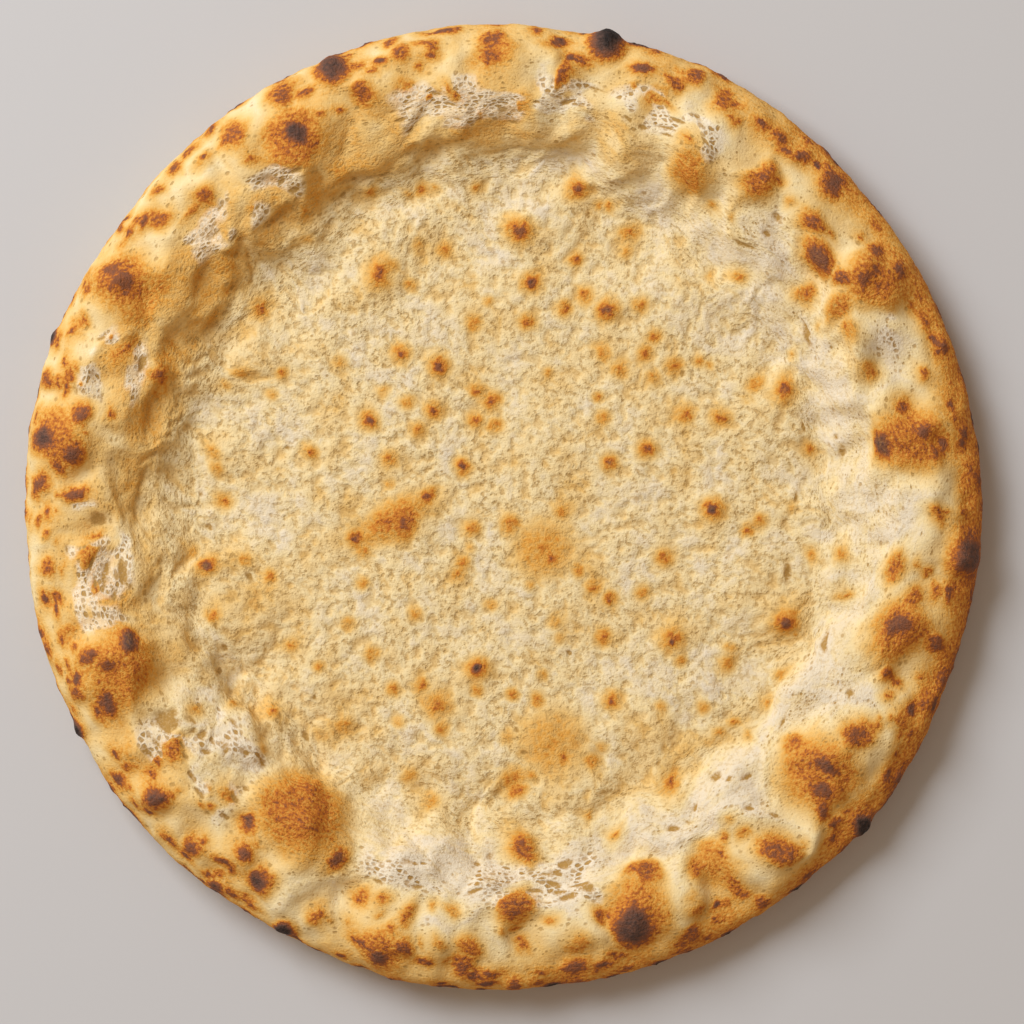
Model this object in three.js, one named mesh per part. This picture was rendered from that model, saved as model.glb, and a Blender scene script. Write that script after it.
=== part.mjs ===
// Bare pizza base: one piece of baked dough, a puffed and blistered rim round a thin middle.
// Sizes are in millimetres and +Z is up. The origin is the middle of the flat underside.
// Angles are in degrees, counter-clockwise from +X as seen from above.
import * as THREE from "three";

// The rim every 30 degrees round the clock: how far out it reaches, how high its crest stands,
// and how far from the axis its inner slope meets the middle.
const RIM = [
  { reach: 148.7, crest: 21.5, foot: 98 },
  { reach: 148.8, crest: 22.0, foot: 97 },
  { reach: 149.8, crest: 22.0, foot: 99 },
  { reach: 150.5, crest: 22.5, foot: 103 },
  { reach: 150.0, crest: 22.5, foot: 98 },
  { reach: 149.5, crest: 22.0, foot: 96 },
  { reach: 149.8, crest: 22.0, foot: 97 },
  { reach: 150.2, crest: 23.0, foot: 93 },
  { reach: 150.3, crest: 23.0, foot: 95 },
  { reach: 150.3, crest: 21.5, foot: 96 },
  { reach: 150.2, crest: 20.5, foot: 95 },
  { reach: 149.7, crest: 21.0, foot: 95 },
];

// Driving dimensions of the cross-section.
const WIDEST_HEIGHT = 12;
const UNDERSIDE_INSET = 12;
const CREST_INSET = 19;
const MIDDLE_THICKNESS = 8;
// At 1 the inner slope is steepest halfway down. Above 1 it stays full for longer and is steepest nearer its foot.
const SLOPE_FULLNESS = 1.3;

// Uneven baking: how far the rim and the middle rise and fall, and the shortest wave in the middle.
const RIM_SWELL = 0.7;
const MIDDLE_SWELL = 0.5;
const MIDDLE_SWELL_LENGTH = 34;
const MIDDLE_SWELL_WAVES = 6;

// Gas blisters on the rim: where each one is centred, how wide it is, and how far it lifts the crust.
const RIM_BLISTERS = [
  { angle: 9.5, fromAxis: 127, radius: 15, lift: 3.4 },
  { angle: 32, fromAxis: 133, radius: 13, lift: 3.0 },
  { angle: 38, fromAxis: 124, radius: 7, lift: 2.2 },
  { angle: 52, fromAxis: 129, radius: 9, lift: 2.4 },
  { angle: 61, fromAxis: 119, radius: 13, lift: 3.6 },
  { angle: 77.5, fromAxis: 148, radius: 8, lift: 3.0 },
  { angle: 91, fromAxis: 141, radius: 10, lift: 2.4 },
  { angle: 111.5, fromAxis: 145, radius: 8, lift: 2.4 },
  { angle: 119.5, fromAxis: 131, radius: 13, lift: 3.2 },
  { angle: 149.5, fromAxis: 137, radius: 14, lift: 3.4 },
  { angle: 160, fromAxis: 115, radius: 8, lift: 2.2 },
  { angle: 171.5, fromAxis: 139, radius: 14, lift: 3.4 },
  { angle: 187.5, fromAxis: 129.5, radius: 7, lift: 2.0 },
  { angle: 203.5, fromAxis: 130, radius: 20, lift: 4.6 },
  { angle: 219.5, fromAxis: 140, radius: 8, lift: 2.2 },
  { angle: 236.5, fromAxis: 114, radius: 20, lift: 6.5 },
  { angle: 254.5, fromAxis: 141, radius: 11, lift: 2.6 },
  { angle: 272, fromAxis: 125, radius: 9, lift: 2.4 },
  { angle: 273, fromAxis: 106, radius: 8, lift: 2.0 },
  { angle: 288, fromAxis: 133, radius: 14, lift: 3.2 },
  { angle: 308.5, fromAxis: 135, radius: 9, lift: 2.2 },
  { angle: 321, fromAxis: 129, radius: 18, lift: 4.2 },
  { angle: 342.5, fromAxis: 129, radius: 16, lift: 3.8 },
  { angle: 354.5, fromAxis: 143, radius: 10, lift: 2.6 },
];

// Blisters on the middle, placed by their distance to the right of and behind the axis.
const MIDDLE_BLISTERS = [
  { x: 5, y: 87, radius: 11, lift: 2.0 },
  { x: 24, y: 98, radius: 10, lift: 1.8 },
  { x: -39, y: 72, radius: 12, lift: 1.8 },
  { x: -77, y: 61, radius: 11, lift: 1.8 },
  { x: 32, y: 62, radius: 10, lift: 1.6 },
  { x: -31, y: -5, radius: 15, lift: 2.0 },
  { x: -93, y: -19, radius: 10, lift: 1.6 },
  { x: 65, y: -1, radius: 10, lift: 1.8 },
  { x: 87, y: 34, radius: 11, lift: 2.2 },
  { x: 86, y: -35, radius: 12, lift: 2.2 },
  { x: 53, y: -42, radius: 11, lift: 1.6 },
  { x: 53, y: -83, radius: 11, lift: 1.8 },
  { x: -9, y: -50, radius: 10, lift: 1.6 },
  { x: 14, y: -77, radius: 19, lift: 1.8 },
  { x: -72, y: -66, radius: 9, lift: 1.4 },
];

// How far apart the points of the mesh lie.
const RIM_STEP = 4.3;
const MIDDLE_STEP = 6.2;
const UNDERSIDE_STEP = 28;

const DEGREE = Math.PI / 180;
const FULL_TURN = 2 * Math.PI;
const QUARTER_TURN = Math.PI / 2;
const GOLDEN_ANGLE = 137.5 * DEGREE;
const { lerp, smoothstep } = THREE.MathUtils;

// The section runs in legs of length 1: underside, side, shoulder, slope, middle.
const UNDERSIDE_END = 1;
const WIDEST = 2;
const CREST = 3;
const FOOT = 4;
const CENTRE = 5;

const rimRound = new THREE.CatmullRomCurve3(
  RIM.map(({ reach, crest, foot }) => new THREE.Vector3(reach, crest, foot)), true, "catmullrom");

function rimAt(angle) {
  const turn = THREE.MathUtils.euclideanModulo(angle / FULL_TURN, 1);
  const { x: reach, y: crest, z: foot } = rimRound.getPoint(turn);
  return { reach, crest, foot, crestRadius: reach - CREST_INSET, undersideRadius: reach - UNDERSIDE_INSET };
}

// Radius and height of the smooth loaf, at one place along the section.
function section(along, rim) {
  if (along <= UNDERSIDE_END) {
    return new THREE.Vector2(along * rim.undersideRadius, 0);
  }
  if (along <= WIDEST) {
    const swing = (along - UNDERSIDE_END) * QUARTER_TURN;
    const radius = rim.undersideRadius + UNDERSIDE_INSET * Math.sin(swing);
    return new THREE.Vector2(radius, WIDEST_HEIGHT * (1 - Math.cos(swing)));
  }
  if (along <= CREST) {
    const swing = (along - WIDEST) * QUARTER_TURN;
    const radius = rim.crestRadius + CREST_INSET * Math.cos(swing);
    return new THREE.Vector2(radius, lerp(WIDEST_HEIGHT, rim.crest, Math.sin(swing)));
  }
  if (along <= FOOT) {
    const down = along - CREST;
    const share = (1 + Math.cos(down ** SLOPE_FULLNESS * Math.PI)) / 2;
    const height = lerp(MIDDLE_THICKNESS, rim.crest, share);
    return new THREE.Vector2(lerp(rim.crestRadius, rim.foot, down), height);
  }
  return new THREE.Vector2(rim.foot * (CENTRE - along), MIDDLE_THICKNESS);
}

// Where along the section a place on top lies, from its distance to the axis.
function alongAt(fromAxis, rim) {
  if (fromAxis > rim.crestRadius) {
    return WIDEST + Math.acos(Math.min(1, (fromAxis - rim.crestRadius) / CREST_INSET)) / QUARTER_TURN;
  }
  if (fromAxis > rim.foot) {
    return CREST + (rim.crestRadius - fromAxis) / (rim.crestRadius - rim.foot);
  }
  return CENTRE - fromAxis / rim.foot;
}

function turnedOut(radius, height, angle) {
  return new THREE.Vector3(radius * Math.cos(angle), radius * Math.sin(angle), height);
}

function smoothPoint(along, angle) {
  const place = section(along, rimAt(angle));
  return turnedOut(place.x, place.y, angle);
}

function blisterOnTop(angle, fromAxis, { radius, lift }) {
  return { centre: smoothPoint(alongAt(fromAxis, rimAt(angle)), angle), radius, lift };
}

const blisters = [
  ...RIM_BLISTERS.map((spot) => blisterOnTop(spot.angle * DEGREE, spot.fromAxis, spot)),
  ...MIDDLE_BLISTERS.map((spot) => blisterOnTop(Math.atan2(spot.y, spot.x), Math.hypot(spot.x, spot.y), spot)),
];

// A blister is a dome that fades out smoothly at its edge. Where two meet, the higher one shows.
function blisterLift(point) {
  const lifts = blisters.map(({ centre, radius, lift }) => {
    const share = Math.min(1, point.distanceTo(centre) / radius);
    return lift * (1 - share * share) ** 2;
  });
  return Math.max(...lifts);
}

function rimSwell(along, angle) {
  const share = smoothstep(along, UNDERSIDE_END, WIDEST) * (1 - smoothstep(along, CREST, FOOT));
  return share * RIM_SWELL * (Math.sin(7 * angle + 0.6) + 0.8 * Math.sin(11 * angle + 2.1)) / 1.8;
}

// Waves that cross at the golden angle, each a little longer than the last, so that no pattern repeats.
function middleSwell(along, point) {
  let height = 0;
  for (let i = 0; i < MIDDLE_SWELL_WAVES; i += 1) {
    const heading = i * GOLDEN_ANGLE;
    const travelled = point.x * Math.cos(heading) + point.y * Math.sin(heading);
    const length = MIDDLE_SWELL_LENGTH * (1 + i / MIDDLE_SWELL_WAVES);
    height += Math.sin(FULL_TURN * travelled / length + i * i);
  }
  const share = smoothstep(along, CREST + 0.7, FOOT + 0.2);
  return share * MIDDLE_SWELL * height / Math.sqrt(MIDDLE_SWELL_WAVES);
}

// A point of the baked crust: the smooth loaf, lifted square to its section by swell and blisters.
function crustPoint(along, angle) {
  const point = smoothPoint(along, angle);
  if (along <= UNDERSIDE_END) {
    return point;
  }
  const nudge = 0.002;
  const rim = rimAt(angle);
  const travel = section(along + nudge, rim).sub(section(along - nudge, rim)).normalize();
  const outward = turnedOut(travel.y, -travel.x, angle);
  const lift = rimSwell(along, angle) + middleSwell(along, point) + blisterLift(point);
  return point.addScaledVector(outward, lift);
}

// The rings of points, from the centre of the underside, round the rim, to the centre of the middle.
const { crest, foot, crestRadius, undersideRadius } = rimAt(0);
const legs = [
  { from: 0, length: undersideRadius, step: UNDERSIDE_STEP },
  { from: UNDERSIDE_END, length: Math.hypot(UNDERSIDE_INSET, WIDEST_HEIGHT), step: RIM_STEP },
  { from: WIDEST, length: 1.1 * Math.hypot(CREST_INSET, crest - WIDEST_HEIGHT), step: RIM_STEP },
  { from: CREST, length: 1.1 * Math.hypot(crestRadius - foot, crest - MIDDLE_THICKNESS), step: RIM_STEP },
  { from: FOOT, length: foot, step: MIDDLE_STEP },
];

const positions = [];
const rings = [];

function addRing(along, step, isOdd) {
  const radius = section(along, rimAt(0)).x;
  const count = radius < step / 2 ? 1 : Math.round(FULL_TURN * radius / step);
  const ring = { first: positions.length / 3, count, offset: isOdd && count > 1 ? 0.5 : 0 };
  for (let i = 0; i < count; i += 1) {
    positions.push(...crustPoint(along, FULL_TURN * (i + ring.offset) / count));
  }
  rings.push(ring);
}

for (const { from, length, step } of legs) {
  const ringCount = Math.ceil(length / step);
  for (let i = 0; i < ringCount; i += 1) {
    addRing(from + i / ringCount, step, i % 2 === 1);
  }
}
addRing(CENTRE, MIDDLE_STEP, false);

// Two neighbouring rings are stitched with triangles, always moving on along the ring that lags behind.
const triangles = [];

function stitch(lower, upper) {
  const at = (ring, i) => ring.first + (i % ring.count);
  const turn = (ring, i) => (i + ring.offset) / ring.count;
  let i = lower.count > 1 ? 0 : 1;
  let j = upper.count > 1 ? 0 : 1;
  while (i < lower.count || j < upper.count) {
    const lowerLags = turn(lower, i + 1) <= turn(upper, j + 1);
    if (j >= upper.count || (i < lower.count && lowerLags)) {
      triangles.push(at(lower, i), at(lower, i + 1), at(upper, j));
      i += 1;
    } else {
      triangles.push(at(lower, i), at(upper, j + 1), at(upper, j));
      j += 1;
    }
  }
}

for (let i = 0; i + 1 < rings.length; i += 1) {
  stitch(rings[i], rings[i + 1]);
}

const crust = new THREE.BufferGeometry();
crust.setAttribute("position", new THREE.Float32BufferAttribute(positions, 3));
crust.setIndex(triangles);

// The blisters make the outline a little uneven, so the whole is shifted to stand centred on the axis.
crust.computeBoundingBox();
const middle = crust.boundingBox.getCenter(new THREE.Vector3());
crust.translate(-middle.x, -middle.y, -crust.boundingBox.min.z);
crust.computeVertexNormals();

const bakedDough = new THREE.MeshStandardMaterial({ color: "#dcb679", roughness: 0.9, metalness: 0 });
const pizzaBase = new THREE.Mesh(crust, bakedDough);
pizzaBase.name = "pizza_base";

const part = new THREE.Group();
part.name = "pizza_base_part";
part.add(pizzaBase);

export default part;
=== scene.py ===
# %% [markdown]
# A bare pizza base, seen from straight above. On the real thing one ball of wheat dough was pressed flat,
# and a very hot oven blew up its rim, blistered it and scorched the tips of the blisters. So this lesson
# makes one closed skin of dough, lifts it into blisters, and then bakes colour into it, in that order.

# %% Load the frame
import math
import random

import bpy
import numpy as np
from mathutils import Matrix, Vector, noise


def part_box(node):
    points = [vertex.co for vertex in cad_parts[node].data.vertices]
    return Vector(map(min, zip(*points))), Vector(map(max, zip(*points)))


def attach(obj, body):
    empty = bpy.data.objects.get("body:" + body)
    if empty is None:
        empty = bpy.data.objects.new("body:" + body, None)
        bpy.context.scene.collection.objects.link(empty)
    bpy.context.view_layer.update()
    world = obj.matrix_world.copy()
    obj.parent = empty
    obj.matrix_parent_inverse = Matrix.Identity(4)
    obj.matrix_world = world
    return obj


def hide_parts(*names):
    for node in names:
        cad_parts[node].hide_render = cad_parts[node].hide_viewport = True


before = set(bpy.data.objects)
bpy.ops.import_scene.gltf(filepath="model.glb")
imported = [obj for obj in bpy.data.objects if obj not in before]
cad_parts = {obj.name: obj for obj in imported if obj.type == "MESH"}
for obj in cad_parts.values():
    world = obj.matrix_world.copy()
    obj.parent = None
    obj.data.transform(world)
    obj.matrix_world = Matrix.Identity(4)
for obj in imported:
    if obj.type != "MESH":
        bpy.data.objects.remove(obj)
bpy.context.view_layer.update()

# %% [markdown]
# The loaf under the blisters is turned about the upright axis: a flat underside, a bulging side, a shoulder
# up to the crest of the rim, an inner slope and the thin middle. Its rim isn't quite even, so three sizes
# are given for every 30 degrees, counter-clockwise from +X, and a smooth closed curve runs through them.
# All sizes are in millimetres until the mesh is made.

# %% The rim round the clock
RIM_REACH = np.array([148.7, 148.8, 149.8, 150.5, 150.0, 149.5, 149.8, 150.2, 150.3, 150.3, 150.2, 149.7])
RIM_CREST = np.array([21.5, 22.0, 22.0, 22.5, 22.5, 22.0, 22.0, 23.0, 23.0, 21.5, 20.5, 21.0])
RIM_FOOT = np.array([98.0, 97.0, 99.0, 103.0, 98.0, 96.0, 97.0, 93.0, 95.0, 96.0, 95.0, 95.0])
FULL_TURN = 2 * math.pi


def round_the_clock(values, angle):
    """A closed curve through evenly spaced values, which passes each in line with its two neighbours."""
    hour = np.mod(angle / FULL_TURN, 1.0) * len(values)
    first = np.floor(hour).astype(int)
    part = hour - first
    before, start, end, after = (values[(first + step) % len(values)] for step in (-1, 0, 1, 2))
    leaving = (end - before) / 2
    arriving = (after - start) / 2
    ends = (2 * part**3 - 3 * part**2 + 1) * start + (3 * part**2 - 2 * part**3) * end
    return ends + (part**3 - 2 * part**2 + part) * leaving + (part**3 - part**2) * arriving


print("rim:", RIM_REACH.max(), "mm out and", RIM_CREST.max(), "mm high")

# %% The section of the loaf
WIDEST_HEIGHT = 12.0
UNDERSIDE_INSET = 12.0
CREST_INSET = 19.0
MIDDLE_THICKNESS = 8.0
# Above 1 the inner slope is fuller below the crest and steeper near its foot.
SLOPE_FULLNESS = 1.3

# A place along the section is a number from 0 to 5. These are the ends of its five legs.
UNDERSIDE_END, WIDEST, CREST, FOOT, CENTRE = 1.0, 2.0, 3.0, 4.0, 5.0


def section(along, angle):
    """Distance from the axis and height of the smooth loaf."""
    reach = round_the_clock(RIM_REACH, angle)
    crest = round_the_clock(RIM_CREST, angle)
    foot = round_the_clock(RIM_FOOT, angle)
    crest_radius = reach - CREST_INSET
    side = np.clip(along - UNDERSIDE_END, 0, 1) * math.pi / 2
    shoulder = np.clip(along - WIDEST, 0, 1) * math.pi / 2
    down = np.clip(along - CREST, 0, 1)
    legs = [along <= UNDERSIDE_END, along <= WIDEST, along <= CREST, along <= FOOT]
    radius = np.select(legs, [
        along * (reach - UNDERSIDE_INSET),
        reach - UNDERSIDE_INSET * (1 - np.sin(side)),
        crest_radius + CREST_INSET * np.cos(shoulder),
        crest_radius + (foot - crest_radius) * down,
    ], foot * (CENTRE - along))
    height = np.select(legs, [
        0 * along,
        WIDEST_HEIGHT * (1 - np.cos(side)),
        WIDEST_HEIGHT + (crest - WIDEST_HEIGHT) * np.sin(shoulder),
        MIDDLE_THICKNESS + (crest - MIDDLE_THICKNESS) * (1 + np.cos(down**SLOPE_FULLNESS * math.pi)) / 2,
    ], MIDDLE_THICKNESS)
    return radius, height


print("the middle is", MIDDLE_THICKNESS, "mm thick")


# %% A place on top of the loaf
def place_on_top(angle, from_axis):
    """The point of the smooth loaf above a place in plan. The angle is in degrees."""
    turn = np.radians(angle)
    crest_radius = round_the_clock(RIM_REACH, turn) - CREST_INSET
    foot = round_the_clock(RIM_FOOT, turn)
    if from_axis > crest_radius:
        along = WIDEST + math.acos(min(1.0, (from_axis - crest_radius) / CREST_INSET)) * 2 / math.pi
    elif from_axis > foot:
        along = CREST + (crest_radius - from_axis) / (crest_radius - foot)
    else:
        along = CENTRE - from_axis / foot
    radius, height = section(np.array(along), turn)
    return np.array((radius * math.cos(turn), radius * math.sin(turn), float(height)))


def as_angle_and_reach(x, y):
    """The angle in degrees and the distance from the axis of a place given by x and y."""
    return math.degrees(math.atan2(y, x)), math.hypot(x, y)


print("a place on the left of the rim:", place_on_top(180, 120).round(1), "mm")

# %% [markdown]
# The skin could be a subdivided sphere, or a remeshed volume. Here it is rings of points about the axis:
# each ring has as many points as its length needs, so the triangles come out about equal. The top is fine
# enough to carry the crumb, and the flat underside is coarser.

# %% The five legs of the section
TOP_STEP = 1.06
SIDE_STEP = 1.3
UNDERSIDE_STEP = 4.0
# A bent leg is about this much longer than the straight line between its ends.
BENT = 1.1
side_length = math.hypot(UNDERSIDE_INSET, WIDEST_HEIGHT) * BENT
shoulder_length = math.hypot(CREST_INSET, RIM_CREST[0] - WIDEST_HEIGHT) * BENT
slope_length = math.hypot(
    RIM_REACH[0] - CREST_INSET - RIM_FOOT[0], RIM_CREST[0] - MIDDLE_THICKNESS) * BENT
# Each leg: where it starts, its length, its step, and how far the dough was drawn out along the rim there.
LEGS = [
    (0.0, RIM_REACH[0] - UNDERSIDE_INSET, UNDERSIDE_STEP, 0.0),
    (UNDERSIDE_END, side_length, SIDE_STEP, 2.4),
    (WIDEST, shoulder_length, TOP_STEP, 2.0),
    (CREST, slope_length, TOP_STEP, 1.8),
    (FOOT, RIM_FOOT[0], TOP_STEP, 1.0),
]
print("legs are", [round(float(length), 1) for _, length, _, _ in LEGS], "mm long")

# %% Rings of points
rings = []
ring_values = []
angle_parts = []
point_count = 0
walked = 0.0
travelled = 0.0
for leg_start, leg_length, step, drawn in LEGS:
    ring_count = math.ceil(leg_length / step)
    for i in range(ring_count):
        done = i / ring_count
        gone = done * leg_length
        ring_radius = float(section(np.array(leg_start + done), 0.0)[0])
        count = max(1, round(FULL_TURN * ring_radius / step))
        stagger = 0.5 * (i % 2) if count > 1 else 0.0
        rings.append((point_count, count, stagger))
        ring_values.append((leg_start + done, walked + gone, travelled + gone * drawn))
        angle_parts.append(FULL_TURN * (np.arange(count) + stagger) / count)
        point_count += count
    walked += leg_length
    travelled += leg_length * drawn
rings.append((point_count, 1, 0.0))
ring_values.append((CENTRE, walked, travelled))
angle_parts.append([0.0])

# Each point's angle, place along the section, way along it in millimetres, and that way drawn out.
angle = np.concatenate(angle_parts)
along, way, travel = np.repeat(ring_values, [count for _, count, _ in rings], axis=0).T.copy()
print(len(rings), "rings with", len(along), "points")


# %% Stitch the rings
def stitch(lower, upper):
    """Triangles between two rings, always moving on along the ring that lags behind."""
    (lower_first, lower_count, lower_stagger), (upper_first, upper_count, upper_stagger) = lower, upper
    found = []
    i = 0 if lower_count > 1 else 1
    j = 0 if upper_count > 1 else 1
    while i < lower_count or j < upper_count:
        a = lower_first + i % lower_count
        b = upper_first + j % upper_count
        lower_lags = (i + 1 + lower_stagger) / lower_count <= (j + 1 + upper_stagger) / upper_count
        if j >= upper_count or (i < lower_count and lower_lags):
            i += 1
            found.append((a, lower_first + i % lower_count, b))
        else:
            j += 1
            found.append((a, upper_first + j % upper_count, b))
    return found


triangles = []
for lower, upper in zip(rings, rings[1:]):
    triangles += stitch(lower, upper)
print(len(triangles), "triangles")

# %% The smooth loaf and its outward direction
NUDGE = 0.002
radius, height = section(along, angle)
smooth = np.stack((radius * np.cos(angle), radius * np.sin(angle), height), axis=1)
next_radius, next_height = section(np.minimum(along + NUDGE, CENTRE), angle)
last_radius, last_height = section(along - NUDGE, angle)
run = np.stack((next_height - last_height, last_radius - next_radius), axis=1)
run /= np.linalg.norm(run, axis=1, keepdims=True)
outward = np.stack((run[:, 0] * np.cos(angle), run[:, 0] * np.sin(angle), run[:, 1]), axis=1)
print("loaf without blisters is", (smooth.max(0) - smooth.min(0)).round(1), "mm")

# %% [markdown]
# The outside, the rim, its inner slope and the middle were each baked in their own way. They could be
# vertex groups painted by hand. Here each zone is a weight from 0 to 1, worked out from the place along
# the section, so that one zone runs softly into the next.


# %% Zones of the skin
def fade(value, start, end):
    """0 before start, 1 after end, with a soft change between them."""
    share = np.clip((value - start) / (end - start), 0, 1)
    return share * share * (3 - 2 * share)


def facing(turn):
    """1 at that angle in degrees, falling to 0 a quarter turn away on either side."""
    return np.clip(np.cos(angle - math.radians(turn)), 0, 1)


on_top = fade(along, 1.15, 1.6)
on_outside = fade(along, 1.2, 1.7) * (1 - fade(along, 2.35, 2.8))
on_rim = on_top * (1 - fade(along, CREST, FOOT))
in_middle = fade(along, 3.75, 4.1)
on_slope = fade(along, 3.0, 3.3) * (1 - in_middle)
# On the left the crumb runs further up the slope than elsewhere.
CRUMBLY_SIDE = 160
CRUMBLY_CLIMB = 0.3
crumbly = fade(along + CRUMBLY_CLIMB * facing(CRUMBLY_SIDE), 3.6, 3.95)
# How far patterns in plan are spread out from the axis, to look drawn out along the rim.
NEAR_AXIS = TOP_STEP / 2
spread = np.where(radius > NEAR_AXIS, (travel[-1] - travel) / np.maximum(radius, NEAR_AXIS), 1.0)
print("share of the middle:", in_middle.mean().round(2))

# %% [markdown]
# Dough is never even, so most of what follows leans on Perlin noise: soft random hills of a chosen size, at
# every point of the skin. A shift picks another stretch of the noise. The points are also stored a second
# time, moved a little by noise: distances measured on those make ragged spots.

# %% Noise on the skin
RIM_RAGGED = 1.3
MIDDLE_RAGGED = 0.7
RAG_SIZE = 5.0
PATCH_SIZE = 26.0
BLOTCH_SIZE = 9.0


def hills(size, octaves=3, points=smooth, shift=0.0):
    """Perlin noise, about -1 to 1, with hills of that size in millimetres."""
    return np.array([noise.fractal(Vector(point), 1.0, 2.0, octaves) for point in points / size + shift])


raggedness = RIM_RAGGED + (MIDDLE_RAGGED - RIM_RAGGED) * in_middle
rags = np.stack([hills(RAG_SIZE, 2, shift=shift) for shift in (11.3, 47.1, 83.9)], axis=1)
ragged = smooth + raggedness[:, None] * rags
patchy = hills(PATCH_SIZE, 3, shift=5.7)
blotchy = hills(BLOTCH_SIZE, 3, shift=71.3)
print("spots are ragged by up to", abs(ragged - smooth).max().round(2), "mm")

# %% [markdown]
# The rim was pulled into shape by hand, so no stretch of it is like the next. It could be sculpted. Here
# noise moves its points sideways and bulges them out, which is quick, and the same on every run.

# %% The rim pulled about by hand
PULL = 4.0
PULL_SIZE = 20.0
BULGE = 2.2
BULGE_SIZE = 13.0
pull = np.stack([hills(PULL_SIZE, 2, shift=shift) for shift in (101.0, 151.0, 199.0)], axis=1)
pull_share = PULL * fade(along, 2.3, 2.9) * (1 - fade(along, FOOT, 4.3))
bulges = BULGE * hills(BULGE_SIZE, 2, shift=43.0) * fade(along, 1.8, 2.6) * (1 - fade(along, 3.8, 4.2))
print("rim bulges by up to", bulges.max().round(2), "mm")

# %% [markdown]
# Gas lifts the skin into blisters. The large ones, which give the base its form, are listed by angle,
# distance from the axis, radius and height. Each is a dome along the skin's own outward direction, so a
# blister on the shoulder leans out. Where two domes meet, the higher one shows, which leaves a crease.

# %% Large blisters
RIM_BLISTERS = [
    (9.5, 127, 15, 3.4), (32, 133, 13, 3.0), (38, 124, 7, 2.2), (52, 129, 9, 2.4), (61, 119, 13, 3.6),
    (77.5, 148, 8, 3.0), (91, 141, 10, 2.4), (111.5, 145, 8, 2.4), (119.5, 131, 13, 3.2),
    (149.5, 137, 14, 3.4), (160, 115, 8, 2.2), (171.5, 139, 14, 3.4), (187.5, 129.5, 7, 2.0),
    (203.5, 130, 20, 4.6), (219.5, 140, 8, 2.2), (236.5, 114, 20, 6.5), (254.5, 141, 11, 2.6),
    (272, 125, 9, 2.4), (273, 106, 8, 2.0), (288, 133, 14, 3.2), (308.5, 135, 9, 2.2),
    (321, 129, 18, 4.2), (342.5, 129, 16, 3.8), (354.5, 143, 10, 2.6),
]
# On the middle the first two are the distance to the right of the axis and behind it.
MIDDLE_BLISTERS = [
    (5, 87, 11, 2.0), (24, 98, 10, 1.8), (-39, 72, 12, 1.8), (-77, 61, 11, 1.8), (32, 62, 10, 1.6),
    (-31, -5, 15, 2.0), (-93, -19, 10, 1.6), (65, -1, 10, 1.8), (87, 34, 11, 2.2), (86, -35, 12, 2.2),
    (53, -42, 11, 1.6), (53, -83, 11, 1.8), (-9, -50, 10, 1.6), (14, -77, 19, 1.8), (-72, -66, 9, 1.4),
]
blister_lift = np.zeros(len(along))
blisters = RIM_BLISTERS + [(*as_angle_and_reach(x, y), *rest) for x, y, *rest in MIDDLE_BLISTERS]
for turn, from_axis, blister_radius, blister_height in blisters:
    away = np.linalg.norm(smooth - place_on_top(turn, from_axis), axis=1) / blister_radius
    blister_lift = np.maximum(blister_lift, blister_height * (1 - np.minimum(away, 1) ** 2) ** 2)
blister_lift *= on_top
print(len(blisters), "blisters, up to", blister_lift.max().round(1), "mm high")

# %% Swell of the rim and the middle
RIM_SWELL = 0.7
# Waves round the rim: how many, where they start, and how strong they are.
RIM_WAVES = [(7, 0.6, 1.0), (11, 2.1, 0.8)]
MIDDLE_SWELL = 0.5
MIDDLE_WAVES = 6
MIDDLE_WAVE_LENGTH = 34.0
GOLDEN_ANGLE = math.radians(137.5)

rim_waves = sum(strength * np.sin(count * angle + start) for count, start, strength in RIM_WAVES)
rim_swell = on_rim * RIM_SWELL * rim_waves / sum(strength for _, _, strength in RIM_WAVES)
middle_swell = np.zeros(len(along))
for wave in range(MIDDLE_WAVES):
    heading = wave * GOLDEN_ANGLE
    distance = smooth[:, 0] * math.cos(heading) + smooth[:, 1] * math.sin(heading)
    length = MIDDLE_WAVE_LENGTH * (1 + wave / MIDDLE_WAVES)
    middle_swell += np.sin(FULL_TURN * distance / length + wave * wave)
middle_swell *= in_middle * MIDDLE_SWELL / math.sqrt(MIDDLE_WAVES)
print("middle swells by up to", middle_swell.max().round(2), "mm")

# %% [markdown]
# Each blister is scorched where it stood closest to the fire: a golden ring, an orange one, a brown one
# and a dark tip. Scorches could be separate decals. One heat at each point of the skin is simpler, and the
# rings follow from it in the material: 0.4 is golden, 0.6 orange-brown, 0.8 brown and 1 charred.

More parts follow.
